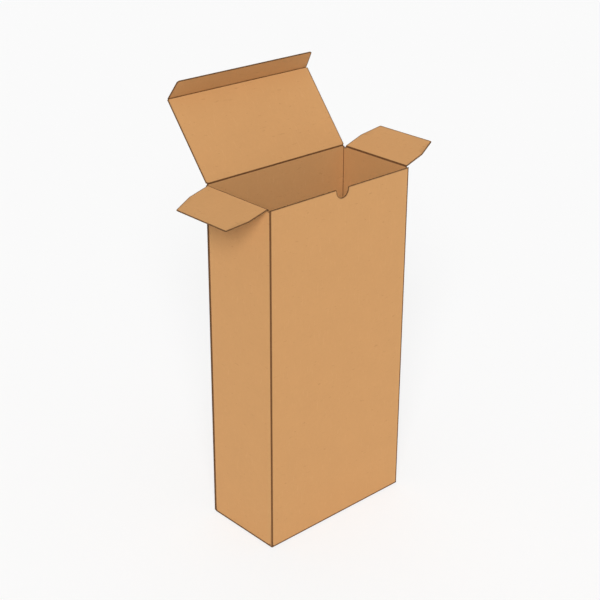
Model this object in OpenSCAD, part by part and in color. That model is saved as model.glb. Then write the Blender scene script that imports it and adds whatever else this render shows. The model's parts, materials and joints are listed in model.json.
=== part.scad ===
// Tall kraft folding carton, folded from one sheet of board: an open lid with a tuck flap,
// two dust flaps and a thumb notch at the top, and a glued flat bottom.
// The origin is the middle of the base on the ground, +Z is up, and the front panel faces -Y.

/* [Carton] */
// Outside width, from left to right
carton_w = 100; // [70:1:140]
// Outside depth, from front to back
carton_d = 50.5; // [44:0.5:80]
// Height of the front panel's top edge and of the side folds
carton_h = 200; // [120:1:260]

/* [Board] */
// Thickness of the board
board = 0.5; // [0.4:0.05:0.6]
// Outside radius of the upright folds and of the folds round the bottom
fold_r = 0.7; // [0.65:0.05:1.2]
// Thickness of board left across the fold of a flap
crease_web = 0.2; // [0.1:0.05:0.3]
// Clearance round the fold of a flap, and under the shut lid
fold_gap = 0.1; // [0.05:0.05:0.2]

/* [Lid] */
// Angle that the lid is opened from shut
lid_open = 128.7; // [90:0.1:180]
// Set-in of the lid from the carton's sides
lid_inset = 0.2; // [0.1:0.1:0.6]

/* [Tuck flap] */
// Length from the lid's fold to the tip
tuck_len = 12.4; // [8:0.2:18]
// Angle that the tuck flap is folded from the plane of the lid
tuck_fold = 70.9; // [30:0.1:90]
// How far past square the tuck flap bends as it enters the carton
tuck_past_square = 11; // [8:1:15]
// Set-in of each end between the fold and the tip
tuck_draw_in = 1.8; // [1:0.2:6]
// Radius of the two tip corners
tuck_corner_r = 1.5; // [0.5:0.1:4]
// Clearance between the tuck flap's fold and the front panel
tuck_gap = 0.2; // [0.1:0.05:0.4]
// Clearance between each end of the tuck flap and the side panel
tuck_side_gap = 0.3; // [0.1:0.1:1]

/* [Dust flaps] */
// Length from the side fold to the tip
dust_len = 24.8; // [18:0.2:32]
// Length of the straight stretch before the taper
dust_straight = 12.6; // [6:0.2:16]
// Set-in of the back edge from the back of the carton
dust_back_inset = 1.8; // [1:0.1:4]
// Set-in of each edge over the tapered stretch
dust_taper = 3.9; // [1:0.1:8]
// Radius of the two tip corners
dust_corner_r = 1; // [0.5:0.1:3]
// Radius where the taper begins
dust_knee_r = 3; // [1:0.5:6]
// Clearance between the front edge and the shut tuck flap
dust_tuck_gap = 0.15; // [0.1:0.05:0.5]
// Angle of the left flap below level
left_dust_droop = 15; // [0:0.5:60]
// Angle of the right flap above level
right_dust_lift = 18.5; // [0:0.5:60]

/* [Thumb notch] */
// Width of the notch
notch_w = 8.2; // [6:0.2:16]
// Depth below the front panel's top edge
notch_depth = 5.2; // [4:0.2:12]
// Radius of the two shoulders
notch_shoulder_r = 1; // [0.4:0.1:2]

/* [Glued seam] */
// Width of the glue flap inside the back panel
glue_w = 13; // [8:0.5:18]
// Set-back of the glue flap from the carton's ends, at the fold
glue_setback = 3; // [1:0.5:8]
// Extra set-back at the glue flap's free edge
glue_taper = 10; // [4:0.5:14]
// Radius of the groove beside the seam
seam_groove_r = 0.3; // [0.15:0.05:0.35]
// Set-in of the back panel's cut edge from the left side
seam_inset = 0.1; // [0.05:0.05:0.2]

/* [Glued bottom] */
// Set-in of the bottom panel's cut edges from the walls
bottom_inset = 0.2; // [0.1:0.05:0.3]
// Radius of the bottom panel's two free corners
bottom_corner_r = 1; // [0.5:0.1:3]
// Length of the inner flaps at the sides
inner_side_len = 24.8; // [18:0.2:32]
// Length of the inner flap at the back
inner_back_len = 38; // [20:0.5:42]
// Set-in of the inner flaps from the panels beside them
inner_inset = 1.8; // [1:0.1:4]
// Clearance between the inner flap at the back and those at the sides
inner_gap = 1; // [0.5:0.1:2]

/* [Hidden] */
$fn = 64;

kraft = [0.80, 0.60, 0.40];
kraft_shaded = [0.75, 0.56, 0.38];
// Room that a cut takes past a face
past = 1;

half_w = carton_w / 2;
half_d = carton_d / 2;
inner_half_w = half_w - board;
inner_half_d = half_d - board;
inner_fold_r = fold_r - board;

// Distance from the fold line of a flap to its thick board
flap_root = crease_web + fold_gap;
// Height of the lid's fold line, level with the outer face of the shut lid
lid_fold_z = carton_h + board + fold_gap;
// Length of the lid between its two fold lines
lid_len = carton_d - board - tuck_gap;
// The same distance on the tuck flap, which bends past square
tuck_root = (flap_root + board * sin(tuck_past_square)) / cos(tuck_past_square);
// Distance from the lid's thick board to the fold line of the tuck flap
lid_end_relief = board / cos(tuck_past_square) + board * tan(tuck_past_square) + fold_gap;
tuck_half_w = inner_half_w - tuck_side_gap;

// Reach of the shut tuck flap behind its fold line, at the underside of the dust flaps
tuck_reach = board / cos(tuck_past_square) + (2 * board + fold_gap) * tan(tuck_past_square);
dust_front_inset = board + tuck_gap + tuck_reach + dust_tuck_gap;
dust_front = half_d - dust_front_inset;
dust_back = half_d - dust_back_inset;

inner_side_half = half_d - inner_inset;
inner_back_half = half_w - inner_side_len - inner_gap;

function unit(v) = v / norm(v);
function half_angle(a, p, b) = acos(unit(a - p) * unit(b - p)) / 2;
function arc_centre(a, p, b, r) = p + unit(unit(a - p) + unit(b - p)) * r / sin(half_angle(a, p, b));

// Flat outline through the points, with each outward corner rounded to its radius
module rounded_outline(points, radii) {
    n = len(points);
    polygon([
        for (i = [0 : n - 1])
            let (a = points[(i + n - 1) % n], p = points[i], b = points[(i + 1) % n])
            let (reach = radii[i] / tan(half_angle(a, p, b)))
            each radii[i] == 0 ? [p] : [p + unit(a - p) * reach, p + unit(b - p) * reach]
    ]);
    for (i = [0 : n - 1]) {
        if (radii[i] > 0) {
            translate(arc_centre(points[(i + n - 1) % n], points[i], points[(i + 1) % n], radii[i]))
                circle(r = radii[i]);
        }
    }
}

// Cutter that rounds a fold whose sharp edge runs along X, with the board at +Y and +Z
module fold_rounding(length) {
    difference() {
        translate([-length / 2, -past, -past])
            cube([length, fold_r + past, fold_r + past]);
        translate([-length / 2 - past, fold_r, fold_r])
            rotate([0, 90, 0])
                cylinder(r = fold_r, h = length + 2 * past);
    }
}

// Rectangle of wall board seen from above, with the seam at the back left
module wall_section() {
    difference() {
        rounded_outline(
            [[-half_w, -half_d], [half_w, -half_d], [half_w, half_d], [-half_w, half_d]],
            [fold_r, fold_r, fold_r, 0]);
        rounded_outline(
            [[-inner_half_w, -inner_half_d], [inner_half_w, -inner_half_d],
             [inner_half_w, inner_half_d], [-inner_half_w, inner_half_d]],
            [inner_fold_r, inner_fold_r, inner_fold_r, 0]);
        // Cut edge of the back panel
        translate([-half_w - past, inner_half_d])
            square([past + seam_inset, board + past]);
        // Groove where the left panel turns in behind the back panel
        translate([-half_w + seam_groove_r, inner_half_d - seam_groove_r])
            difference() {
                translate([-seam_groove_r - past, 0])
                    square([seam_groove_r + past, seam_groove_r]);
                circle(r = seam_groove_r);
            }
    }
}

// Thumb notch, as a cutter through the front panel's top edge
module thumb_notch() {
    r = notch_w / 2;
    s = notch_shoulder_r;
    translate([0, -inner_half_d + past, carton_h])
        rotate([90, 0, 0])
            linear_extrude(board + 2 * past) {
                translate([0, r - notch_depth])
                    circle(r = r);
                translate([-r, r - notch_depth])
                    square([notch_w, notch_depth - r + past]);
                for (side = [-1, 1]) {
                    difference() {
                        translate([side * (r + s / 2) - s / 2, -s])
                            square([s, s + past]);
                        translate([side * (r + s), -s])
                            circle(r = s);
                    }
                }
            }
}

// The four upright panels
module walls() {
    difference() {
        linear_extrude(carton_h)
            wall_section();
        thumb_notch();
        // The side panels end below the dust flaps' fold lines
        for (side = [-1, 1]) {
            translate([side * half_w - past, -inner_half_d, carton_h - board - fold_gap])
                cube([2 * past, 2 * inner_half_d, board + fold_gap + past]);
        }
        // All but the front panel stand on the bottom panel
        translate([-half_w - past, -half_d + fold_r, -past])
            cube([carton_w + 2 * past, carton_d, board + past]);
    }
}

// Tapered flap outline from Y = start to the tip, with its straight edges at X = low and X = high
module tapered_outline(low, high, start, tip) {
    rounded_outline(
        [[low, start], [high, start], [high, dust_straight],
         [high - dust_taper, tip], [low + dust_taper, tip], [low, dust_straight]],
        [0, 0, dust_knee_r, dust_corner_r, dust_corner_r, dust_knee_r]);
}

// Side and back panels' inner flaps, one layer on top of the bottom panel
module inner_flaps() {
    for (turn = [-1, 1]) {
        translate([turn * half_w, 0, board])
            rotate([0, 0, turn * 90])
                linear_extrude(board)
                    tapered_outline(-inner_side_half, inner_side_half, 0, inner_side_len);
    }
    translate([-inner_back_half, half_d - inner_back_len, board])
        cube([2 * inner_back_half, inner_back_len, board]);
}

// Walls with their inner flaps, rounded where each flap folds in
module folded_walls() {
    difference() {
        union() {
            walls();
            inner_flaps();
        }
        for (turn = [-1, 1]) {
            translate([turn * half_w, 0, board])
                rotate([0, 0, turn * 90])
                    fold_rounding(2 * inner_side_half);
        }
        translate([0, half_d, board])
            rotate([0, 0, 180])
                fold_rounding(2 * inner_back_half);
    }
}

// Bottom panel, folded from the front panel and glued under the inner flaps
module bottom_panel() {
    w = half_w - bottom_inset;
    d = half_d - bottom_inset;
    linear_extrude(board)
        rounded_outline(
            [[-w, -half_d], [w, -half_d], [w, d], [-w, d]],
            [fold_r, fold_r, bottom_corner_r, bottom_corner_r]);
}

// Glue flap of the left panel, stuck inside the back panel
module glue_flap() {
    low = board + glue_setback;
    high = carton_h - glue_setback;
    translate([-inner_half_w, inner_half_d, 0])
        rotate([90, 0, 0])
            linear_extrude(board)
                polygon([[0, low], [glue_w, low + glue_taper], [glue_w, high - glue_taper], [0, high]]);
}

// Thin board that carries each side panel and the back panel up to a flap's fold line
module fold_webs() {
    for (side = [-1, 1]) {
        translate([side * (half_w - crease_web / 2) - crease_web / 2, -dust_front, carton_h - past])
            cube([crease_web, dust_front + dust_back, past]);
    }
    translate([-half_w + fold_r, half_d - crease_web, carton_h - past])
        cube([carton_w - 2 * fold_r, crease_web, lid_fold_z - carton_h + past]);
}

module carton_body() {
    color(kraft)
        difference() {
            union() {
                folded_walls();
                bottom_panel();
                glue_flap();
                fold_webs();
            }
            translate([0, -half_d, 0])
                fold_rounding(carton_w + 2 * past);
        }
}

// A flap is drawn with its fold line along X, its outer face at Z = 0 and its tip towards +Y,
// and then placed on its fold line and turned
module on_lid_fold() {
    translate([0, half_d, lid_fold_z])
        rotate([-lid_open, 0, 0])
            rotate([0, 0, 180])
                children();
}

module lid_panel() {
    w = half_w - lid_inset;
    thick_len = lid_len - lid_end_relief - flap_root;
    color(kraft)
        on_lid_fold() {
            translate([-w, flap_root, -board])
                cube([2 * w, thick_len, board]);
            translate([-tuck_half_w, lid_len - lid_end_relief - past, -crease_web])
                cube([2 * tuck_half_w, lid_end_relief + past, crease_web]);
        }
}

module tuck_flap() {
    tip_half_w = tuck_half_w - tuck_draw_in;
    color(kraft_shaded)
        on_lid_fold()
            translate([0, lid_len, 0])
                rotate([-tuck_fold, 0, 0])
                    translate([0, 0, -board])
                        linear_extrude(board)
                            rounded_outline(
                                [[-tuck_half_w, tuck_root], [tuck_half_w, tuck_root],
                                 [tip_half_w, tuck_len], [-tip_half_w, tuck_len]],
                                [0, 0, tuck_corner_r, tuck_corner_r]);
}

module left_dust_flap() {
    color(kraft)
        translate([-half_w, 0, carton_h])
            rotate([0, -180 - left_dust_droop, 0])
                rotate([0, 0, -90])
                    translate([0, 0, -board])
                        linear_extrude(board)
                            tapered_outline(-dust_back, dust_front, flap_root, dust_len);
}

module right_dust_flap() {
    color(kraft)
        translate([half_w, 0, carton_h])
            rotate([0, 180 - right_dust_lift, 0])
                rotate([0, 0, 90])
                    translate([0, 0, -board])
                        linear_extrude(board)
                            tapered_outline(-dust_front, dust_back, flap_root, dust_len);
}

carton_body();
lid_panel();
tuck_flap();
left_dust_flap();
right_dust_flap();
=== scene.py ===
"""Open tuck-top folding carton of kraft board, with its floor, lights and camera.

Each piece of board is made from a section across its folds and an outline on the flat blank, and
gets its thickness, rounded cut edges and creases in mesh code.
"""

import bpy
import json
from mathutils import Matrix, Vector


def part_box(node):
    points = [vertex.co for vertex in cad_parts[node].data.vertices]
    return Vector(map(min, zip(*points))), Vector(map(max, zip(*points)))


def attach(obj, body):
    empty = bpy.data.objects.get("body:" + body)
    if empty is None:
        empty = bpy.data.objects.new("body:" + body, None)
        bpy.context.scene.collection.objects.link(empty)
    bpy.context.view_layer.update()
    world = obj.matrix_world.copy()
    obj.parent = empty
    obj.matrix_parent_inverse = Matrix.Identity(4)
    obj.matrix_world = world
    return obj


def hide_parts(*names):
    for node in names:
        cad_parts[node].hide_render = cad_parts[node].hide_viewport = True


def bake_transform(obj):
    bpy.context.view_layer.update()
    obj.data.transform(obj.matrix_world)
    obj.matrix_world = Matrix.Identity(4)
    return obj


bl_info = {
    "name": "Kraft folding carton",
    "version": (1, 0, 0),
    "blender": (4, 5, 0),
    "location": "3D View > Sidebar > Carton",
    "description": "Builds an open folding carton from folded board, with a stage for it",
    "category": "Add Mesh",
}

import json
import math

import bmesh
import bpy
import numpy as np
from bpy.props import FloatProperty, FloatVectorProperty, PointerProperty
from mathutils import Matrix, Vector

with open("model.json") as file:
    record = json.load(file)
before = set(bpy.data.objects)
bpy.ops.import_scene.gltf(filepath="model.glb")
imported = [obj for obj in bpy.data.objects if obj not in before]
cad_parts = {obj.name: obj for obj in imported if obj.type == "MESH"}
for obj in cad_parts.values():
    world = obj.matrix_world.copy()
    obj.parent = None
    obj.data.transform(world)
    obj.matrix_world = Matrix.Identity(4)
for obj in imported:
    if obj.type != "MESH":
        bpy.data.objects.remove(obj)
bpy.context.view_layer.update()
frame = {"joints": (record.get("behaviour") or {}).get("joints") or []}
JOINTS = {joint["name"]: joint for joint in frame["joints"]}
BODY_LOW, BODY_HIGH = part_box("carton_body")
FINISH = "kraft_board_fibres"

UP = Vector((0, 0, 1))
RIGHT = Vector((1, 0, 0))
BACK = Vector((0, 1, 0))
WHITE = (1, 1, 1, 1)

MM = 0.001
# Play in tests of whether a point lies on a line
SLACK = 0.01 * MM
# Run over which the upright sheet's outline steps to another height
STEP = 0.15 * MM
# How far in the points beside an edge lie, and where the edge's rounding stops moving them
NEAR = np.array([0.0, 0.22, 0.45, 0.6]) * MM
MARGIN = 1.3 * MM
# Reach either side of each flap's crease
LID_BEND = 0.18 * MM
TUCK_BEND = 0.14 * MM
DUST_BEND = 0.3 * MM
# Line across the tuck flap's crease, as a turn inwards from the lid's plane
TUCK_BEND_TURN = math.radians(45.3)
# Share of the crease's dark colour, painted shade that stands partly for bruised board: in a fold, where
# the shade fades beside a fold, beside the tuck flap's web, at a fold's ends
FULL, SHADE_BESIDE, SCORED, FOLD_END = 1.0, 0.9, 0.8, 0.55
# Stretch of an edge that holds no point
NOWHERE = (0.0, -1.0)


def bent_back(joint):
    """Angle in radians that a flap leans back from upright, from its hinge's travel to shut."""
    return math.radians(JOINTS[joint]["range_deg"][1] - 90)


# Sizes and colours


def length(name, description, default):
    return FloatProperty(
        name=name,
        description=description,
        default=default,
        min=0.0,
        precision=5,
        subtype="DISTANCE",
        unit="LENGTH",
    )


def degrees(name, description, default):
    return FloatProperty(
        name=name,
        description=description,
        default=math.radians(default),
        subtype="ANGLE",
    )


def colour(name, description, default):
    return FloatVectorProperty(
        name=name,
        description=description,
        default=default,
        size=3,
        min=0.0,
        max=1.0,
        subtype="COLOR",
    )


def amount(name, description, default, top=1.0):
    return FloatProperty(name=name, description=description, default=default, min=0.0, max=top)


class CartonBoard(bpy.types.PropertyGroup):
    """The folding board and its kraft finish"""

    thickness: length("Thickness", "Thickness of the board", 0.5 * MM)
    cut_rounding: length("Cut edge rounding", "Radius along the two corners of a cut edge", 0.1 * MM)
    # Painted shade: a dark band beside each cut edge, partly the raw edge's own colour
    cut_band: length("Cut edge band", "Width of the crushed fibres beside a cut edge", 0.64 * MM)
    fold_radius: length("Fold radius", "Outside radius of the glued carton's folds", 0.7 * MM)
    seam_radius: length("Seam fold radius", "Outside radius of the glue flap's fold", 0.55 * MM)
    web: length("Crease web", "Board left across the tuck flap's crease", 0.2 * MM)
    # Painted shade along the folds, partly bruised board: its half width, its fade and its reach beside
    # three folds
    crease_half: length("Crease half width", "Bruised board either side of a flap's fold line", 0.22 * MM)
    crease_fade: length("Crease fade", "Distance over which the bruise fades out", 0.2 * MM)
    crease_wear: length("Crease wear", "Bruise beside the front right fold", 0.36 * MM)
    seam_wear: length("Seam wear", "Bruise beside the glue flap's fold", 0.75 * MM)
    foot_wear: length("Foot wear", "Bruise above the bottom panel's fold", 0.35 * MM)
    kraft: colour("Kraft", "Bare face of the board", (0.534, 0.280, 0.110))
    fibre_light: colour("Light fibres", "Pale fibres in the board", (0.66, 0.38, 0.175))
    fibre_dark: colour("Dark fibres", "Bark specks and dark fibres in the board", (0.34, 0.158, 0.058))
    # Crease and cut edge colours: dark painted shade along folds and edges, partly bruised board and raw
    # edge
    crease: colour("Crease", "Bruised board along a fold", (0.10, 0.040, 0.012))
    cut: colour("Cut edge", "Raw edge of the board", (0.10, 0.047, 0.0165))
    mottle: amount("Mottle", "How strongly the board's colour drifts", 0.10)
    fibres: amount("Fibres", "How strongly single fibres show", 0.30)
    relief: amount("Relief", "How strongly the fibres stand out of the face", 0.35)


class CartonShape(bpy.types.PropertyGroup):
    """Outlines of the carton's panels and flaps"""

    width: length("Width", "Outside width", BODY_HIGH.x - BODY_LOW.x)
    depth: length("Depth", "Outside depth", BODY_HIGH.y - BODY_LOW.y)
    height: length("Height", "Height of the front panel", JOINTS["left_dust_hinge"]["pos_m"][2])
    fold_room: length("Fold room", "Thick board kept back from a fold line", 0.6 * MM)
    lid_inset: length("Lid inset", "Set-in of the lid from the carton's sides", 0.2 * MM)
    lid_relief: length("Lid end relief", "Thick board kept back at the tuck flap's fold", 0.711 * MM)
    tuck_root: length("Tuck flap root", "Thick board kept back on the tuck flap", 0.403 * MM)
    tuck_length: length("Tuck flap length", "From the lid's fold to the tip", 12.4 * MM)
    tuck_half: length("Tuck flap half width", "Half of the tuck flap's width at its fold", 49.2 * MM)
    tuck_draw_in: length("Tuck flap draw-in", "Set-in of each end towards the tip", 1.8 * MM)
    tuck_corner: length("Tuck flap corners", "Radius of the two tip corners", 1.5 * MM)
    tuck_fold: degrees("Tuck flap fold", "Angle from the lid's plane", 70.9)
    dust_length: length("Dust flap length", "From the side fold to the tip", 24.8 * MM)
    dust_straight: length("Dust flap straight", "Straight stretch before the taper", 12.6 * MM)
    dust_taper: length("Dust flap taper", "Set-in of each edge over the taper", 3.9 * MM)
    dust_front: length("Dust flap front inset", "Set-in from the front of the carton", 1.57 * MM)
    dust_back: length("Dust flap back inset", "Set-in from the back of the carton", 1.8 * MM)
    dust_knee: length("Dust flap knees", "Radius where the taper begins", 3.0 * MM)
    dust_corner: length("Dust flap corners", "Radius of the tip corners", 1.0 * MM)
    notch_width: length("Notch width", "Width of the thumb notch", 8.2 * MM)
    notch_depth: length("Notch depth", "Depth of the thumb notch", 5.2 * MM)
    notch_shoulder: length("Notch shoulders", "Radius of the notch's shoulders", 1.0 * MM)
    glue_width: length("Glue flap width", "Width of the glue flap inside the back", 13.0 * MM)
    glue_setback: length("Glue flap set-back", "Set-back from the carton's ends", 3.0 * MM)
    glue_taper: length("Glue flap taper", "Extra set-back at the free edge", 10.0 * MM)
    glue_line: length("Glue line", "Glue between the glue flap and the back panel", 0.02 * MM)
    seam_inset: length("Seam inset", "Set-in of the back panel's cut edge from the left side", 0.1 * MM)
    bottom_inset: length("Bottom inset", "Set-in of the bottom panel's cut edges", 0.2 * MM)
    front_strip: length("Front strip", "Front panel's board above the bottom panel's fold", 0.55 * MM)
    inner_strip: length("Inner strip", "Wall board above an inner flap's fold", 0.3 * MM)
    inner_back: length("Inner back flap", "Length of the glued inner flap at the back", 38.0 * MM)
    inner_gap: length("Inner gap", "Gap between the glued inner flaps", 1.0 * MM)


class CartonStage(bpy.types.PropertyGroup):
    """Floor, lights and camera"""

    floor: colour("Floor", "Colour of the floor", (0.92, 0.92, 0.92))
    glow: amount("Floor glow", "Share of plain white in the floor as the camera sees it", 0.65)
    sky: amount("Sky", "Strength of the even light from all round", 0.35, 5.0)
    key: amount("Key", "Strength of the soft light from the camera's side", 2.72, 10.0)
    top: amount("Top", "Strength of the soft light from above", 0.32, 10.0)
    fill: amount("Fill", "Strength of the soft light from behind", 0.25, 10.0)
    lens: amount("Lens", "Focal length in millimetres on a 36 mm frame", 78.4, 500.0)
    azimuth: degrees("Azimuth", "Camera's turn round the carton from its front", -42.66)
    elevation: degrees("Elevation", "Camera's rise above level", 24.64)
    roll: degrees("Roll", "Camera's turn about its line of sight", 0.24)
    distance: length("Distance", "Camera's distance along its line of sight", 726.89 * MM)
    aside: length("Aside", "Camera's place to the right of the carton's near bottom corner", 15.48 * MM)
    above: length("Above", "Camera's place above that corner, square to its line of sight", 138.05 * MM)


# Shader graph


class Value:
    """A number that changes over a surface, as a node socket that Python's operators work on."""

    def __init__(self, graph, socket):
        self.graph = graph
        self.socket = socket

    def maths(self, operation, *operands, clamp=False):
        settings = {"operation": operation, "use_clamp": clamp}
        node = self.graph.node("ShaderNodeMath", settings, dict(enumerate(operands)))
        return Value(self.graph, node.outputs[0])

    def __add__(self, other):
        return self.maths("ADD", self, other)

    def __radd__(self, other):
        return self.maths("ADD", other, self)

    def __sub__(self, other):
        return self.maths("SUBTRACT", self, other)

    def __mul__(self, other):
        return self.maths("MULTIPLY", self, other)

    def clamped(self):
        return self.maths("ADD", self, 0.0, clamp=True)

    def above(self, low, high):
        """0 below low, 1 above high, and a straight ramp between."""
        settings = {"clamp": True, "interpolation_type": "LINEAR"}
        inputs = {"Value": self, "From Min": low, "From Max": high}
        return Value(self.graph, self.graph.node("ShaderNodeMapRange", settings, inputs).outputs[0])


class Graph:
    """The node tree of a material or world, filled from nothing."""

    def __init__(self, owner):
        owner.use_nodes = True
        self.tree = owner.node_tree
        self.tree.nodes.clear()

    def node(self, kind, settings=None, inputs=None):
        """Adds a node: its settings first, then the values or links of its sockets."""
        node = self.tree.nodes.new(kind)
        for name, value in (settings or {}).items():
            setattr(node, name, value)
        for name, value in (inputs or {}).items():
            self.feed(node.inputs[name], value)
        return node

    def feed(self, socket, value):
        if isinstance(value, Value):
            value = value.socket
        if isinstance(value, bpy.types.NodeSocket):
            self.tree.links.new(value, socket)
        else:
            socket.default_value = value

    def blend(self, factor, first, second):
        """First colour at factor 0 and second at factor 1."""
        node = self.node("ShaderNodeMix", {"data_type": "RGBA"}, {"Factor": factor})
        a, b = (s for s in node.inputs if s.type == "RGBA")
        self.feed(a, first)
        self.feed(b, second)
        return next(s for s in node.outputs if s.type == "RGBA")

    def noise(self, vector, scale, detail, distortion=0.0, squeeze=None):
        """Soft random pattern. Squeeze packs it closer along each axis, by three factors."""
        if squeeze:
            multiply, factors = {"operation": "MULTIPLY"}, {0: vector, 1: squeeze}
            vector = self.node("ShaderNodeVectorMath", multiply, factors).outputs[0]
        inputs = {"Vector": vector, "Scale": scale, "Detail": detail, "Distortion": distortion}
        return Value(self, self.node("ShaderNodeTexNoise", {"noise_dimensions": "3D"}, inputs).outputs[0])

    def attribute(self, name):
        return self.node("ShaderNodeAttribute", {"attribute_name": name})

    def seen_directly(self):
        """1 for what the camera sees, also through gloss or glass, and 0 for what lights the scene."""
        seen = self.node("ShaderNodeLightPath").outputs
        shown = Value(self, seen["Is Camera Ray"]) + Value(self, seen["Is Glossy Ray"])
        return (shown + Value(self, seen["Is Transmission Ray"])).clamped()


def rgba(colour_property, gain=1.0):
    return tuple(min(1.0, c * gain) for c in colour_property) + (1.0,)


def kraft_material(board):
    """Bare kraft board. Its pattern lies on the flat blank, so it runs on round every fold."""
    found = bpy.data.materials.get(FINISH)
    if found:
        return found
    material = bpy.data.materials.new(FINISH)
    graph = Graph(material)
    blank = graph.attribute("blank").outputs["Vector"]
    crease = Value(graph, graph.attribute("crease").outputs["Fac"])
    cut = Value(graph, graph.attribute("cut").outputs["Fac"])

    drift = graph.noise(blank, scale=70.0, detail=3.0)
    cloud = graph.noise(blank, scale=420.0, detail=3.0)
    grain = graph.noise(blank, scale=1500.0, detail=2.0, squeeze=(1.0, 3.0, 3.0))
    strand = graph.noise(blank, scale=900.0, detail=2.0, distortion=0.8, squeeze=(0.22, 2.6, 2.6))
    pale = graph.noise(blank, scale=620.0, detail=1.0, distortion=1.2, squeeze=(2.2, 0.3, 2.2))
    dark = graph.noise(blank, scale=560.0, detail=1.0, distortion=0.5, squeeze=(0.5, 1.8, 1.8))
    pale, dark = pale.above(0.63, 0.72), dark.above(0.70, 0.76)

    tone = (drift - 0.5) + (cloud - 0.5) * 0.8 + (grain - 0.5) * 0.6 + (strand - 0.5) * 0.7
    tone = (tone * board.mottle * 3.0 + 0.5).clamped()
    face = graph.blend(tone, rgba(board.kraft, 0.90), rgba(board.kraft, 1.10))
    face = graph.blend(pale * (board.fibres * 0.5), face, rgba(board.fibre_light))
    face = graph.blend(dark * board.fibres, face, rgba(board.fibre_dark))
    # Painted shade: folds take the dark crease colour, and cut edges with a band beside them the dark cut
    # colour, partly the raw edge's own
    shaded = (crease * (0.72 + grain * 0.5)).clamped()
    face = graph.blend(shaded, face, rgba(board.crease))
    raw = graph.blend(strand.above(0.3, 0.7), rgba(board.cut, 0.8), rgba(board.cut, 1.3))
    face = graph.blend((cut * (0.75 + cloud * 0.4)).clamped(), face, raw)

    height = grain * 0.5 + strand * 0.8 + cloud * 0.5 + pale * 0.3
    sockets = {"Strength": board.relief, "Distance": 0.05 * MM, "Height": height}
    bump = graph.node("ShaderNodeBump", {}, sockets)
    sockets = {
        "Base Color": face,
        "Roughness": (0.80 + grain * 0.12 + cut * 0.06).clamped(),
        "Specular IOR Level": 0.22,
        "Normal": bump.outputs[0],
    }
    shader = graph.node("ShaderNodeBsdfPrincipled", {}, sockets)
    graph.node("ShaderNodeOutputMaterial", {}, {"Surface": shader.outputs[0]})
    return material


# Sections across the folds


def rounded_line(points, radii, steps=6):
    """Open line through 2-D points with its inner corners rounded, and the index range of each arc."""
    made = [Vector(points[0])]
    arcs = []
    for before, corner, after, radius in zip(points, points[1:], points[2:], radii):
        corner = Vector(corner)
        back = (Vector(before) - corner).normalized()
        on = (Vector(after) - corner).normalized()
        half = back.angle(on) / 2
        centre = corner + (back + on).normalized() * (radius / math.sin(half))
        start = corner + back * (radius / math.tan(half)) - centre
        turn = (math.pi - 2 * half) * (1 if on.cross(back) < 0 else -1)
        first = len(made)
        for k in range(steps + 1):
            made.append(centre + Matrix.Rotation(-turn * k / steps, 2) @ start)
        arcs.append((first, len(made) - 1))
    made.append(Vector(points[-1]))
    return made, arcs


class Section:
    """Section of board across its folds: the outer and inner face by distance along the blank."""

    def __init__(self):
        self.rows = []

    def add(self, s, outer, inner, crease=0.0):
        self.rows.append((s, outer[0], outer[1], inner[0], inner[1], crease))

    def split(self, s, crease=0.0):
        """Adds a row where the board is straight."""
        if self.rows[0][0] < s < self.rows[-1][0]:
            self.add(s, self.at(s, 0.0), self.at(s, 1.0), crease)
            self.rows.sort()

    def stations(self):
        return [row[0] for row in self.rows]

    def at(self, s, depth):
        """2-D points at distances s and shares of the thickness, 0 on the outer face."""
        table = np.array(self.rows)
        columns = [np.interp(s, table[:, 0], table[:, k]) for k in range(1, 5)]
        return (
            columns[0] + (columns[2] - columns[0]) * depth,
            columns[1] + (columns[3] - columns[1]) * depth,
        )

    def crease(self, s):
        table = np.array(self.rows)
        return np.interp(s, table[:, 0], table[:, 5])


def folded_section(points, radii, board, shade_reach=None):
    """Section that follows the outer face's line and turns left at each fold, with the arcs' ends.

    The shade reach gives, for each fold, how far the painted shade of its crease reaches on the board
    before and after it.
    """
    line, arcs = rounded_line(points, radii)
    shade_reach = shade_reach or [(0.0, 0.0)] * len(arcs)
    section = Section()
    s = 0.0
    ends = []
    for i, p in enumerate(line):
        if i:
            s += (p - line[i - 1]).length
        arc = next((a for a in arcs if a[0] <= i <= a[1]), None)
        if arc is None or i == arc[0]:
            along = (line[1] - p) if i == 0 else (p - line[i - 1])
        elif i == arc[1]:
            along = line[i + 1] - p
        else:
            along = line[i + 1] - line[i - 1]
        crease = FULL if arc else 0.0
        if arc and i in arc:
            ends.append(s)
            crease = FULL if shade_reach[arcs.index(arc)][arc.index(i)] else FOLD_END
        along = along.normalized()
        inner = p + Vector((-along.y, along.x)) * board.thickness
        section.add(s, p, inner, crease)
    folds = list(zip(ends[::2], ends[1::2]))
    for (start, end), (before, after) in zip(folds, shade_reach):
        for s, reach in ((start - before, before), (end + after, after)):
            if reach:
                section.split(s, SHADE_BESIDE)
        section.split(start - before - board.crease_fade)
        section.split(end + after + board.crease_fade)
    return section, folds


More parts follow.
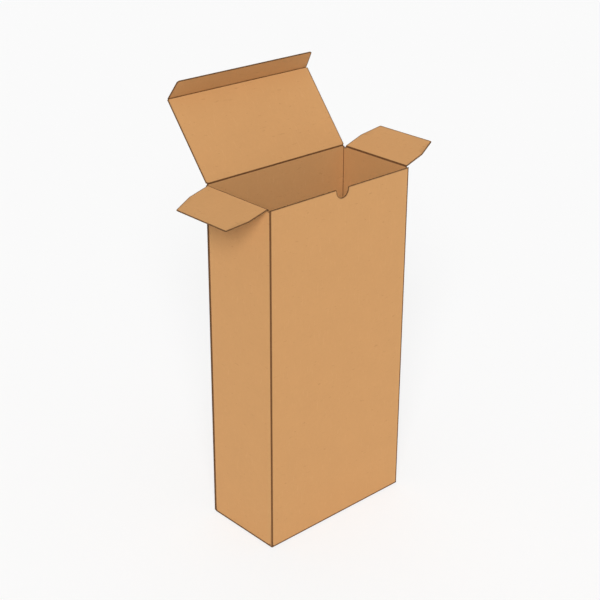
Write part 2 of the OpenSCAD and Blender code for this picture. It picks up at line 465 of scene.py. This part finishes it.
def leaning_section(root, length_on, lean, board, steps=6):
    """Section of a flap that leans back round a hinge line on its outer face, in (along, inward)."""
    bend, score, score_depth = 0.03 * MM, 0.1 * MM, 0.1 * MM
    # The dent inside the bend is part of half a wave, which begins and runs for these shares of it.
    wave_start, wave_run = 0.15, 0.7
    section = Section()
    t = board.thickness
    fade_end = board.crease_half + board.crease_fade
    # Painted shade along the crease, darkest in the score and fading out past its half width
    marks = [(score, FULL), (board.crease_half, SHADE_BESIDE), (fade_end, 0.0)]
    section.add(-root, (-root, 0.0), (-root, t))
    for s, mark in reversed(marks):
        section.add(-s, (-s, 0.0), (-s, t), mark)
    for k in range(steps + 1):
        angle = lean * k / steps
        across = Vector((math.sin(angle), math.cos(angle)))
        dip = score_depth * math.sin(math.pi * (wave_start + wave_run * k / steps))
        section.add(bend * (2 * k / steps - 1), across * bend, across * (t - dip), FULL)
    along = Vector((math.cos(lean), -math.sin(lean)))
    across = Vector((math.sin(lean), math.cos(lean)))
    for s, mark in marks + [(length_on, 0.0)]:
        section.add(s, along * s, along * s + across * t, mark)
    return section


def tucked_section(shape, board, steps=6):
    """Section of the tuck flap, folded forward round a thin web, in (along, inward)."""
    t, web, fold = board.thickness, board.web, shape.tuck_fold
    inner_radius, slope = 0.05 * MM, 0.05 * MM
    radius = web + inner_radius
    tangent = radius * math.tan(fold / 2)
    start = -shape.lid_relief
    section = Section()
    section.add(start, (start, 0.0), (start, t))
    # Painted shade in the tuck flap's crease and beside its web
    section.add(start + slope, (start + slope, 0.0), (start + slope, web), SCORED)
    centre = Vector((-tangent, radius))
    for k in range(steps + 1):
        angle = fold * k / steps
        outward = Vector((math.sin(angle), -math.cos(angle)))
        s = tangent * (2 * k / steps - 1)
        section.add(s, centre + outward * radius, centre + outward * inner_radius, FULL)
    along = Vector((math.cos(fold), math.sin(fold)))
    across = Vector((-math.sin(fold), math.cos(fold)))
    s = shape.tuck_root - slope
    section.add(s, along * s, along * s + across * web, SCORED)
    for s in (shape.tuck_root, shape.tuck_length):
        section.add(s, along * s, along * s + across * t)
    return section


# Points over a flat piece


class Knots:
    """A value by distance along the blank, straight between its knots."""

    def __init__(self, pairs):
        self.pairs = sorted((s, u) for s, u in pairs)

    def __call__(self, s):
        table = np.array(self.pairs)
        return np.interp(s, table[:, 0], table[:, 1])

    def stations(self):
        return [pair[0] for pair in self.pairs]


def even_sides(half_widths):
    """Low and high edge of a piece that reaches equally far either side of its middle."""
    return Knots((s, -w) for s, w in half_widths), Knots(half_widths)


def tapered_sides(shape, low, high, root, start, tip):
    """Low and high edge of a flap with rounded knees and tip corners, straight from root to start."""
    beyond = 5 * MM
    knee = start + shape.dust_straight
    line, _ = rounded_line(
        [(start, 0.0), (knee, 0.0), (tip, shape.dust_taper), (tip, shape.dust_taper + beyond)],
        [shape.dust_knee, shape.dust_corner],
    )
    line = [(root, 0.0)] + [tuple(p) for p in line[:-1]]
    return Knots((s, low + u) for s, u in line), Knots((s, high - u) for s, u in line)


class Placing:
    """Turns section points and a distance across into the carton's frame."""

    def __init__(self, origin, first, second, across):
        self.origin = np.array(origin)
        self.axes = np.array([first, second, across])

    def __call__(self, a, b, u):
        return self.origin + np.stack([a, b, u], axis=-1) @ self.axes


def within(value, low, high):
    return low - SLACK <= value <= high + SLACK


def merged(values, least=0.02 * MM):
    """The values in order, without any that follows another too closely."""
    kept = []
    for v in sorted(values):
        if not kept or v - kept[-1] > least:
            kept.append(v)
    return kept


def spread(stations, beside=0.7 * MM, most=12 * MM):
    """The stations, with more close beside them and evenly over the wide gaps between."""
    made = [stations[0]]
    for a, b in zip(stations, stations[1:]):
        if b - a > 3 * beside:
            count = math.ceil((b - a - 2 * beside) / most)
            made += list(np.linspace(a + beside, b - beside, count + 1))
        made.append(b)
    return made


def innermost(edge, pick):
    """Each place along an edge, or its neighbour's where that lies further in."""
    padded = np.pad(edge, 1, mode="edge")
    return pick.reduce([padded[:-2], padded[1:-1], padded[2:]])


def flat_grid(section, low, high, columns, curved):
    """Grid of points over the flat piece, closer beside its edges.

    Beside the curved stretch of the high edge the rows lie square to it.
    """
    first, last = section.stations()[0], section.stations()[-1]
    stations = section.stations() + low.stations() + high.stations()
    stations += [first + d for d in NEAR] + [last - d for d in NEAR]
    s = merged([v for v in stations if first <= v <= last])
    s[-1] = last
    s = np.array(spread(s))
    top = high(s)
    run_s = np.gradient(s)
    run_u = np.gradient(top)
    size = np.hypot(run_s, run_u)
    tilt = np.where((s >= curved[0]) & (s <= curved[1]), 1.0, 0.0)
    aside = tilt * run_u / size
    down = 1.0 - tilt * (1.0 - run_s / size)
    column = s + NEAR[-1] * aside
    bottom = low(column)

    high_s = s[:, None] + aside[:, None] * NEAR[None, ::-1]
    high_u = top[:, None] - down[:, None] * NEAR[None, ::-1]
    upper = innermost(high_u[:, 0], np.minimum) - (MARGIN - NEAR[-1])
    lower = innermost(bottom, np.maximum) + MARGIN
    share = np.linspace(0.0, 1.0, columns + 1)
    middle = lower[:, None] + (upper - lower)[:, None] * share[None]
    u = np.concatenate([bottom[:, None] + NEAR[None], middle, high_u], axis=1)
    straight = np.repeat(column[:, None], len(NEAR) + columns + 1, axis=1)
    return np.stack([np.concatenate([straight, high_s], axis=1), u], axis=-1)


def rim_of(rows, cols):
    """Indices of the points round a grid's rim."""
    ring = list(range(cols))
    ring += [i * cols + cols - 1 for i in range(1, rows)]
    ring += [(rows - 1) * cols + j for j in range(cols - 2, -1, -1)]
    ring += [i * cols for i in range(rows - 2, 0, -1)]
    return ring


def outward(rim):
    """Unit normals of a closed 2-D outline."""
    run = np.roll(rim, -1, axis=0) - np.roll(rim, 1, axis=0)
    out = np.stack([-run[:, 1], run[:, 0]], axis=1)
    return out / np.linalg.norm(out, axis=1)[:, None]


def edge_distance(points, starts, ends, tiny=1e-18):
    """Distance from each 2-D point to the nearest of the segments."""
    run = ends - starts
    size = np.maximum((run**2).sum(axis=1), tiny)
    off = points[:, None, :] - starts[None]
    share = np.clip((off * run[None]).sum(axis=2) / size, 0.0, 1.0)
    return np.linalg.norm(off - share[..., None] * run[None], axis=2).min(axis=1)


def cut_shade_share(points, rim, held, band, fall=1.6):
    """Share of the cut edge's dark colour at each point, painted shade and partly the raw edge's own, 1
    beside a cut and falling to 0 over the band.
    """
    is_cut = ~(held & np.roll(held, -1))
    distance = edge_distance(points, rim[is_cut], np.roll(rim, -1, axis=0)[is_cut])
    return np.clip(fall * (1.0 - distance / band), 0.0, 1.0)


def eased(rim, shift, held, least=0.4, rounds=12):
    """Shifts of the rim's points, evened out where neighbours would close up on each other."""
    shift = shift.copy()
    run = np.roll(rim, -1, axis=0) - rim
    for _ in range(rounds):
        moved = rim + shift
        moved_run = np.roll(moved, -1, axis=0) - moved
        close = (run * moved_run).sum(axis=1) < least * (run**2).sum(axis=1)
        for k in np.nonzero(close)[0]:
            n = (k + 1) % len(rim)
            mean = (shift[k] + shift[n]) / 2
            for point in (k, n):
                shift[point] = 0.0 if held[point] else mean
    return shift


def drawn_in(grid, shift, curved):
    """The grid with its rim shifted and the points near it carried along, so that none cross."""
    s = grid[:, -1, 0]
    square = (s >= curved[0]) & (s <= curved[1])
    low, high = np.zeros(grid.shape[:2]), np.zeros(grid.shape[:2])
    low[:, : len(NEAR)] = 1.0 - NEAR / MARGIN
    high[:, -len(NEAR) :] = 1.0 - NEAR[::-1] / np.where(square, NEAR[-1], MARGIN)[:, None]
    first = np.clip(1.0 - (s - s[0]) / MARGIN, 0.0, 1.0)[:, None, None]
    last = np.clip(1.0 - (s[-1] - s) / MARGIN, 0.0, 1.0)[:, None, None]
    moved = grid + first * shift[0] + last * shift[-1]
    for across, j in ((low[..., None], 0), (high[..., None], -1)):
        moved += across * (shift[:, j][:, None] - first * shift[0, j] - last * shift[-1, j])
    return moved


# Meshes of board


def board_layers(grid, joined, board, curved):
    """Flat points, depth and cut colour of each layer, from the outer face round the edge to the inner."""
    flat = grid.reshape(-1, 2)
    ring = rim_of(*grid.shape[:2])
    rim = flat[ring]
    held = np.array([joined(s, u) for s, u in rim])
    # Painted shade beside the cut edges
    raw = cut_shade_share(flat, rim, held, board.cut_band)

    radius = board.cut_rounding
    inset = eased(rim, -outward(rim) * np.where(held, 0.0, radius)[:, None], held)
    shift = np.zeros_like(flat)
    shift[ring] = inset
    face = drawn_in(grid, shift.reshape(grid.shape), curved).reshape(-1, 2)
    share = radius / board.thickness
    soft = 1 - math.sqrt(0.5)
    steps = [(share * soft, soft), (share, 0.0), (1 - share, 0.0), (1 - share * soft, soft)]

    layers = [(face, 0.0, raw)]
    layers += [(rim + inset * pull, depth, np.where(held, 0.0, 1.0)) for depth, pull in steps]
    return layers + [(face, 1.0, raw)]


def skin(rows, cols, starts):
    """Polygons of both faces and of the bands between the layers, which start at the given points."""
    ring = rim_of(rows, cols)
    polygons = []
    for i in range(rows - 1):
        for j in range(cols - 1):
            quad = [i * cols + j, i * cols + j + 1, (i + 1) * cols + j + 1, (i + 1) * cols + j]
            polygons.append(quad)
            polygons.append([starts[-1] + k for k in reversed(quad)])
    loops = [ring]
    loops += [[start + k for k in range(len(ring))] for start in starts[1:-1]]
    loops += [[starts[-1] + k for k in ring]]
    for one, two in zip(loops, loops[1:]):
        for k in range(len(ring)):
            n = (k + 1) % len(ring)
            polygons.append([one[n], one[k], two[k], two[n]])
    return polygons


def mark_points(mesh, name, values):
    """Stores a number or a vector for each point, under the name that the material looks up."""
    values = np.concatenate(values).astype(np.float32)
    kind, field = ("FLOAT", "value") if values.ndim == 1 else ("FLOAT_VECTOR", "vector")
    mesh.attributes.new(name, kind, "POINT").data.foreach_set(field, values.ravel())


def face_outwards(mesh):
    work = bmesh.new()
    work.from_mesh(mesh)
    bmesh.ops.recalc_face_normals(work, faces=work.faces)
    if work.calc_volume(signed=True) < 0.0:
        bmesh.ops.reverse_faces(work, faces=work.faces)
    work.to_mesh(mesh)
    work.free()


def board_piece(name, board, section, sides, placing, blank, joined, columns=8, curved=NOWHERE):
    """One piece of board as a closed mesh.

    Sides gives its low and high edge by distance along the blank, joined says where it runs on
    into another piece and so has no cut edge, and blank gives its place on the flat sheet.
    """
    grid = flat_grid(section, *sides, columns, curved)
    places, blanks, creases, cuts, starts = [], [], [], [], []
    total = 0
    for points, depth, cut in board_layers(grid, joined, board, curved):
        a, b = section.at(points[:, 0], depth)
        places.append(placing(a, b, points[:, 1]))
        x, y = blank(points[:, 0], points[:, 1])
        blanks.append(np.stack([x, y, np.full(len(x), depth * board.thickness)], axis=1))
        creases.append(section.crease(points[:, 0]))
        cuts.append(cut)
        starts.append(total)
        total += len(points)

    mesh = bpy.data.meshes.new(name)
    mesh.from_pydata(np.concatenate(places).tolist(), [], skin(*grid.shape[:2], starts))
    for label, values in (("crease", creases), ("cut", cuts), ("blank", blanks)):
        mark_points(mesh, label, values)
    face_outwards(mesh)
    mesh.polygons.foreach_set("use_smooth", [True] * len(mesh.polygons))
    mesh.materials.append(kraft_material(board))
    piece = bpy.data.objects.new(name, mesh)
    bpy.context.scene.collection.objects.link(piece)
    weighted = piece.modifiers.new("Flat faces", "WEIGHTED_NORMAL")
    weighted.keep_sharp = True
    weighted.weight = 90
    return piece


def set_on_carton(piece):
    """The piece never moves on the carton, and stands for part of the carton's solid."""
    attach(piece, "carton")
    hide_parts("carton_body")


def bend_across(piece, pivot, direction, reach):
    """Bakes the piece's place into its mesh. The ends of the crease's reach are worked out but not used.
    """
    pivot = Vector(pivot)
    start, end = pivot - direction * reach, pivot + direction * reach
    tuple(start)
    tuple(end)
    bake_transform(piece)


# Pieces


class Walls:
    """The upright sheet's section, each panel's place on the blank, and lengths shared by its flaps."""

    def __init__(self, shape, board):
        half_w, half_d = shape.width / 2, shape.depth / 2
        t, r = board.thickness, board.fold_radius
        seam = half_d - t - shape.glue_line
        corners = [
            (-half_w + t + shape.glue_width, seam),
            (-half_w, seam),
            (-half_w, -half_d),
            (half_w, -half_d),
            (half_w, half_d),
            (-half_w + shape.seam_inset, half_d),
        ]
        # Painted shade beside the glue flap's fold and before the front right fold
        shade_reach = [(0.0, board.seam_wear), (0.0, 0.0), (board.crease_wear, 0.0), (0.0, 0.0)]
        self.section, self.folds = folded_section(corners, [board.seam_radius, r, r, r], board, shade_reach)
        self.half_w, self.half_d, self.radius = half_w, half_d, r
        self.seam_end = seam - board.seam_radius
        self.end = self.section.stations()[-1]
        self.narrow = half_w - r
        self.rise = r + shape.inner_strip
        self.front_rise = r + shape.front_strip
        self.dust_ends = (-half_d + shape.dust_front, half_d - shape.dust_back)
        self.inner_side = half_d - shape.dust_back
        self.inner_back = half_w - shape.dust_length - shape.inner_gap

    def left(self, y):
        return self.folds[0][1] + (self.seam_end - y)

    def front(self, x):
        return self.folds[1][1] + (x + self.half_w - self.radius)

    def right(self, y):
        return self.folds[2][1] + (y + self.half_d - self.radius)

    def back(self, x):
        return self.folds[3][1] + (self.half_w - self.radius - x)


def notch_edge(shape, shoulder_steps=6, round_steps=10):
    """Thumb notch's edge as (place from its middle, drop below the top edge), left to right."""
    r, s, depth = shape.notch_width / 2, shape.notch_shoulder, shape.notch_depth
    half = []
    for k in range(shoulder_steps + 1):
        angle = math.radians(90 * k / shoulder_steps)
        half.append((-(r + s) + s * math.sin(angle), s * (1 - math.cos(angle))))
    for k in range(1, round_steps + 1):
        angle = math.radians(90 * k / round_steps)
        half.append((-r * math.cos(angle), depth - r + r * math.sin(angle)))
    return half + [(-x, drop) for x, drop in reversed(half[:-1])]


def walls_low_edge(shape, board, walls):
    """Lower edge of the upright sheet, and its stretches that run on into the bottom's pieces."""
    foot, foot_run = 0.25 * MM, 0.4 * MM
    t, glue_low = board.thickness, board.thickness + shape.glue_setback
    seam_fold, front_left, front_right, _ = walls.folds
    sides = ((walls.left, walls.inner_side), (walls.right, walls.inner_side))
    flaps = []
    for place, half in sides + ((walls.back, walls.inner_back),):
        start, end = sorted((place(-half), place(half)))
        flaps.append((start + STEP, end - STEP))
    knots = [(0.0, glue_low + shape.glue_taper), (seam_fold[0], glue_low), (seam_fold[1] - STEP, t)]
    for start, end in flaps:
        knots += [(start - 2 * STEP, t), (start, t + walls.rise)]
        knots += [(end, t + walls.rise), (end + 2 * STEP, t)]
    knots += [
        (front_left[0], t),
        (front_left[0] + foot_run, foot),
        (front_left[1] - STEP, foot),
        (front_left[1], walls.front_rise),
        (front_right[0], walls.front_rise),
        (front_right[0] + STEP, foot),
        (front_right[1] - foot_run, foot),
        (front_right[1], t),
        (walls.end, t),
    ]
    return Knots(knots), flaps + [(front_left[1], front_right[0])]


def walls_high_edge(shape, walls):
    """Upper edge of the upright sheet, and its stretches that run on into the flaps and the lid."""
    top, side_top = shape.height, shape.height - shape.fold_room
    glue_top = top - shape.glue_setback
    seam_fold, front_left, front_right, back_right = walls.folds
    flaps = [tuple(sorted(map(place, walls.dust_ends))) for place in (walls.left, walls.right)]
    lid = (walls.back(walls.narrow), walls.back(-walls.narrow))
    knots = [
        (0.0, glue_top - shape.glue_taper),
        (seam_fold[0], glue_top),
        (seam_fold[1] - STEP, side_top),
        (front_left[0] - STEP, side_top),
        (front_left[0] + STEP, top),
        (front_right[1] - STEP, top),
        (front_right[1] + STEP, side_top),
        (back_right[0] - STEP, side_top),
        (back_right[0] + STEP, top),
        (walls.end, top),
    ]
    knots += [(walls.front(x), top - drop) for x, drop in notch_edge(shape)]
    knots += [(s, side_top) for ends in flaps for s in ends]
    knots += [(s, top) for s in lid]
    return Knots(knots), flaps + [lid]


class CARTON_OT_walls(bpy.types.Operator):
    """Add the four upright panels with their glue flap and thumb notch"""

    bl_idname = "carton.walls"
    bl_label = "Walls"

    def execute(self, context):
        shape, board = context.scene.carton_shape, context.scene.carton_board
        walls = Walls(shape, board)
        low, low_joints = walls_low_edge(shape, board, walls)
        high, high_joints = walls_high_edge(shape, walls)
        notch = notch_edge(shape)

        def joined(s, z):
            joints = low_joints if z < shape.height / 2 else high_joints
            return any(within(s, *ends) for ends in joints)

        piece = board_piece(
            "carton_walls",
            board,
            walls.section,
            (low, high),
            Placing((0, 0, 0), RIGHT, BACK, UP),
            lambda s, z: (s, z),
            joined,
            columns=12,
            curved=(walls.front(notch[0][0]), walls.front(notch[-1][0])),
        )
        set_on_carton(piece)
        return {"FINISHED"}


class CARTON_OT_bottom(bpy.types.Operator):
    """Add the bottom panel and the three inner flaps that are glued on it"""

    bl_idname = "carton.glued_bottom"
    bl_label = "Glued bottom"

    def execute(self, context):
        shape, board = context.scene.carton_shape, context.scene.carton_board
        walls = Walls(shape, board)
        t, r, rise, front_rise = board.thickness, walls.radius, walls.rise, walls.front_rise
        half_w, half_d = walls.half_w, walls.half_d

        ends = [(-half_d, front_rise), (-half_d, 0.0), (half_d - shape.bottom_inset, 0.0)]
        # Painted shade above the bottom panel's fold
        section, folds = folded_section(ends, [r], board, [(board.foot_wear, 0.0)])
        fold_end, tip = folds[0][1], section.stations()[-1]
        wide, narrow = half_w - shape.bottom_inset, walls.narrow
        shoulder, corner = 2 * board.cut_rounding, 1.0 * MM
        line, _ = rounded_line(
            [(0.0, narrow), (fold_end - r / 2, narrow), (fold_end, wide), (tip, wide), (tip, 0.0)],
            [shoulder, shoulder, corner],
        )
        panel = board_piece(
            "bottom_panel",
            board,
            section,
            even_sides(line[:-1]),
            Placing((0, 0, 0), BACK, UP, RIGHT),
            lambda s, x: (walls.front(x), front_rise - s),
            lambda s, x: s < SLACK and abs(x) <= narrow + SLACK,
        )
        set_on_carton(panel)

        for name, inward, place in (("left", RIGHT, walls.left), ("right", -RIGHT, walls.right)):
            ends = [(-half_w, t + rise), (-half_w, t), (-half_w + shape.dust_length, t)]
            section, folds = folded_section(ends, [r], board)
            start, tip = folds[0][1] - r, section.stations()[-1]
            flap = board_piece(
                f"inner_flap_{name}",
                board,
                section,
                tapered_sides(shape, -walls.inner_side, walls.inner_side, start, start, tip),
                Placing((0, 0, 0), inward, UP, BACK),
                lambda s, y, place=place: (place(y), t + rise - s),
                lambda s, y: s < SLACK,
            )
            set_on_carton(flap)

        ends = [(-half_d, t + rise), (-half_d, t), (-half_d + shape.inner_back, t)]
        section, _ = folded_section(ends, [r], board)
        flap = board_piece(
            "inner_flap_back",
            board,
            section,
            even_sides([(0.0, walls.inner_back), (section.stations()[-1], walls.inner_back)]),
            Placing((0, 0, 0), -BACK, UP, RIGHT),
            lambda s, x: (walls.back(x), t + rise - s),
            lambda s, x: s < SLACK,
        )
        set_on_carton(flap)
        return {"FINISHED"}


class CARTON_OT_lid(bpy.types.Operator):
    """Add the lid and its tuck flap, each made with its crease"""

    bl_idname = "carton.lid"
    bl_label = "Lid and tuck flap"

    def execute(self, context):
        shape, board = context.scene.carton_shape, context.scene.carton_board
        walls = Walls(shape, board)
        pivot = JOINTS["lid_hinge"]["pos_m"]
        tuck_pivot = JOINTS["tuck_hinge"]["pos_m"]
        lean = bent_back("lid_hinge")
        lid_length = (Vector(tuck_pivot) - Vector(pivot)).length
        wide, narrow = walls.half_w - shape.lid_inset, walls.narrow
        root, end = shape.fold_room, lid_length - shape.lid_relief
        # Reach of the painted crease shade, and where it has faded out
        shaded, clean = board.crease_half, board.crease_half + board.crease_fade
        tuck_meets = shape.tuck_half + 0.05 * MM
        lid = board_piece(
            "lid_board",
            board,
            leaning_section(root, end, lean, board),
            even_sides([(-root, narrow), (shaded, narrow), (clean, wide), (end, wide)]),
            Placing(pivot, UP, -BACK, RIGHT),
            lambda s, x: (walls.back(x), pivot[2] + s),
            lambda s, x: s < -root + SLACK or (s > end - SLACK and abs(x) < tuck_meets),
        )
        halfway = UP * math.cos(lean / 2) + BACK * math.sin(lean / 2)
        bend_across(lid, pivot, halfway, LID_BEND)
        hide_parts("lid_panel")

        along = UP * math.cos(lean) + BACK * math.sin(lean)
        inward = UP * math.sin(lean) - BACK * math.cos(lean)
        tip_half = shape.tuck_half - shape.tuck_draw_in
        line, _ = rounded_line(
            [(shape.tuck_root, shape.tuck_half), (shape.tuck_length, tip_half), (shape.tuck_length, 0.0)],
            [shape.tuck_corner],
        )
        tuck = board_piece(
            "tuck_board",
            board,
            tucked_section(shape, board),
            even_sides([(-shape.lid_relief, shape.tuck_half)] + line[:-1]),
            Placing(tuck_pivot, along, inward, RIGHT),
            lambda s, x: (walls.back(x), pivot[2] + lid_length + s),
            lambda s, x: s < -shape.lid_relief + SLACK,
        )
        across = along * math.cos(TUCK_BEND_TURN) + inward * math.sin(TUCK_BEND_TURN)
        bend_across(tuck, tuck_pivot, across, TUCK_BEND)
        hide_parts("tuck_flap")
        return {"FINISHED"}


class CARTON_OT_dust_flaps(bpy.types.Operator):
    """Add the two dust flaps, each made with its crease"""

    bl_idname = "carton.dust_flaps"
    bl_label = "Dust flaps"

    def execute(self, context):
        shape, board = context.scene.carton_shape, context.scene.carton_board
        walls = Walls(shape, board)
        root = shape.fold_room
        for side, inward, place in (("left", RIGHT, walls.left), ("right", -RIGHT, walls.right)):
            pivot = JOINTS[f"{side}_dust_hinge"]["pos_m"]
            lean = bent_back(f"{side}_dust_hinge")
            flap = board_piece(
                f"{side}_dust_board",
                board,
                leaning_section(root, shape.dust_length, lean, board),
                tapered_sides(shape, *walls.dust_ends, -root, 0.0, shape.dust_length),
                Placing(pivot, UP, inward, BACK),
                lambda s, y, place=place: (place(y), pivot[2] + s),
                lambda s, y: s < -root + SLACK,
            )
            halfway = UP * math.cos(lean / 2) - inward * math.sin(lean / 2)
            reach = min(root * math.cos(lean / 2) - SLACK, DUST_BEND)
            bend_across(flap, pivot, halfway, reach)
            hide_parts(f"{side}_dust_flap")
        return {"FINISHED"}


# Stage


def floor_material(stage):
    material = bpy.data.materials.new("pale_floor")
    graph = Graph(material)
    place = graph.node("ShaderNodeTexCoord").outputs["Object"]
    tone = graph.noise(place, scale=3.0, detail=2.0)
    face = graph.blend(tone, rgba(stage.floor, 0.995), rgba(stage.floor, 1.005))
    sockets = {"Base Color": face, "Roughness": 0.9, "Specular IOR Level": 0.0}
    shader = graph.node("ShaderNodeBsdfPrincipled", {}, sockets)
    white = graph.node("ShaderNodeEmission", {}, {"Color": WHITE, "Strength": 1.0})
    shown = graph.seen_directly() * stage.glow
    mixed = graph.node("ShaderNodeMixShader", {}, {0: shown, 1: shader.outputs[0], 2: white.outputs[0]})
    graph.node("ShaderNodeOutputMaterial", {}, {"Surface": mixed.outputs[0]})
    return material


def add_floor(scene, stage):
    reach, drop = 6.0, -0.1 * MM
    corners = [(x * reach, y * reach, drop) for x, y in ((-1, -1), (1, -1), (1, 1), (-1, 1))]
    mesh = bpy.data.meshes.new("floor")
    mesh.from_pydata(corners, [], [(0, 1, 2, 3)])
    mesh.materials.append(floor_material(stage))
    floor = bpy.data.objects.new("floor", mesh)
    scene.collection.objects.link(floor)


def add_sky(scene, stage):
    """Even light from all round, which the camera sees as plain white."""
    world = bpy.data.worlds.new("pale_sky")
    graph = Graph(world)
    light = graph.node("ShaderNodeBackground", {}, {"Color": WHITE, "Strength": stage.sky})
    white = graph.node("ShaderNodeBackground", {}, {"Color": WHITE, "Strength": 1.0})
    sockets = {0: graph.seen_directly(), 1: light.outputs[0], 2: white.outputs[0]}
    mixed = graph.node("ShaderNodeMixShader", {}, sockets)
    graph.node("ShaderNodeOutputWorld", {}, {"Surface": mixed.outputs[0]})
    scene.world = world


def direction(azimuth, elevation):
    """Unit vector towards a light or camera, from its turn round from the front and its rise."""
    level = math.cos(elevation)
    return Vector((math.sin(azimuth) * level, -math.cos(azimuth) * level, math.sin(elevation)))


def add_lamps(scene, stage):
    for name, azimuth, elevation, softness, strength in (
        ("key", -43.5, 31.0, 24.0, stage.key),
        ("top", 0.0, 88.0, 60.0, stage.top),
        ("fill", 140.0, 45.0, 60.0, stage.fill),
    ):
        sun = bpy.data.lights.new(name, "SUN")
        sun.energy = strength
        sun.angle = math.radians(softness)
        lamp = bpy.data.objects.new(name, sun)
        toward = direction(math.radians(azimuth), math.radians(elevation))
        lamp.rotation_euler = toward.to_track_quat("Z", "Y").to_euler()
        lamp.location = toward
        scene.collection.objects.link(lamp)


def add_camera(scene, stage):
    back = direction(stage.azimuth, stage.elevation)
    level = direction(stage.azimuth + math.radians(90), 0.0)
    upright = back.cross(level)
    across = level * math.cos(stage.roll) + upright * math.sin(stage.roll)
    rise = upright * math.cos(stage.roll) - level * math.sin(stage.roll)
    camera = bpy.data.objects.new("camera", bpy.data.cameras.new("camera"))
    camera.data.lens = stage.lens
    camera.data.sensor_width = 36.0
    camera.data.clip_start = 0.01
    camera.data.clip_end = 50.0
    place = Matrix((across, rise, back)).transposed().to_4x4()
    place.translation = BODY_LOW + across * stage.aside + rise * stage.above + back * stage.distance
    camera.matrix_world = place
    scene.collection.objects.link(camera)
    scene.camera = camera


class CARTON_OT_stage(bpy.types.Operator):
    """Add the pale floor, the soft lights and the camera"""

    bl_idname = "carton.stage"
    bl_label = "Stage"

    def execute(self, context):
        scene = context.scene
        stage = scene.carton_stage
        add_floor(scene, stage)
        add_sky(scene, stage)
        add_lamps(scene, stage)
        add_camera(scene, stage)
        scene.view_settings.view_transform = "Standard"
        return {"FINISHED"}


class CARTON_PT_sidebar(bpy.types.Panel):
    """Lists the carton's pieces and sizes"""

    bl_label = "Carton"
    bl_idname = "CARTON_PT_sidebar"
    bl_space_type = "VIEW_3D"
    bl_region_type = "UI"
    bl_category = "Carton"

    def draw(self, context):
        scene = context.scene
        for group in (scene.carton_board, scene.carton_shape, scene.carton_stage):
            box = self.layout.box()
            for name in group.bl_rna.properties.keys():
                if name not in ("rna_type", "name"):
                    box.prop(group, name)
        for operator in OPERATORS:
            self.layout.operator(operator.bl_idname)


GROUPS = (CartonBoard, CartonShape, CartonStage)
OPERATORS = (CARTON_OT_walls, CARTON_OT_bottom, CARTON_OT_lid, CARTON_OT_dust_flaps, CARTON_OT_stage)
CLASSES = GROUPS + OPERATORS + (CARTON_PT_sidebar,)


def register():
    for cls in CLASSES:
        bpy.utils.register_class(cls)
    bpy.types.Scene.carton_board = PointerProperty(type=CartonBoard)
    bpy.types.Scene.carton_shape = PointerProperty(type=CartonShape)
    bpy.types.Scene.carton_stage = PointerProperty(type=CartonStage)


def unregister():
    del bpy.types.Scene.carton_stage
    del bpy.types.Scene.carton_shape
    del bpy.types.Scene.carton_board
    for cls in reversed(CLASSES):
        bpy.utils.unregister_class(cls)


def main():
    register()
    bpy.ops.carton.walls()
    bpy.ops.carton.glued_bottom()
    bpy.ops.carton.lid()
    bpy.ops.carton.dust_flaps()
    bpy.ops.carton.stage()


if __name__ == "__main__":
    main()
